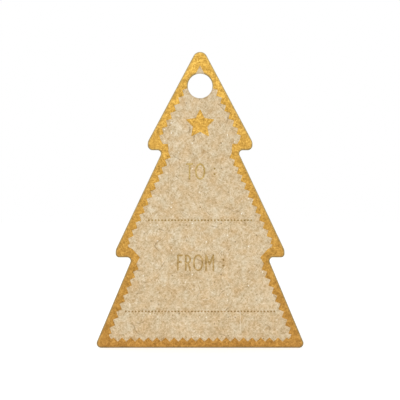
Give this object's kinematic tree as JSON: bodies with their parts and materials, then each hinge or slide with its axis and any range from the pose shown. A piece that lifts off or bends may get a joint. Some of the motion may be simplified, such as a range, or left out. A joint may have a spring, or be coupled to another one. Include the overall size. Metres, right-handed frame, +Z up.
{
  "type": "gift tag",
  "caption": "Flat kraft gift tag cut as a tiered fir tree, with a hanging hole, a pinked gold foil border, a foil star and two dotted writing lines.",
  "frame": {"origin": "centre of the hanging hole, halfway through the card", "axes": "+Z up along the hanging tag towards its apex, -Y out of the foil-stamped face, +X to the right as seen from the front"},
  "size_m": [0.05, 0.0006, 0.0717],
  "materials": {
    "kraft_board": "matte",
    "gold_foil": "satin"
  },
  "bodies": {
    "root": {"kraft_card": "kraft_board", "foil_border": "gold_foil", "foil_star": "gold_foil", "foil_to_letter_t": "gold_foil", "foil_to_letter_o": "gold_foil", "foil_to_colon": "gold_foil", "foil_from_letter_f": "gold_foil", "foil_from_letter_r": "gold_foil", "foil_from_letter_o": "gold_foil", "foil_from_letter_m": "gold_foil", "foil_from_colon": "gold_foil", "foil_upper_line_dots": "gold_foil", "foil_lower_line_dots": "gold_foil"}
  },
  "joints": []
}
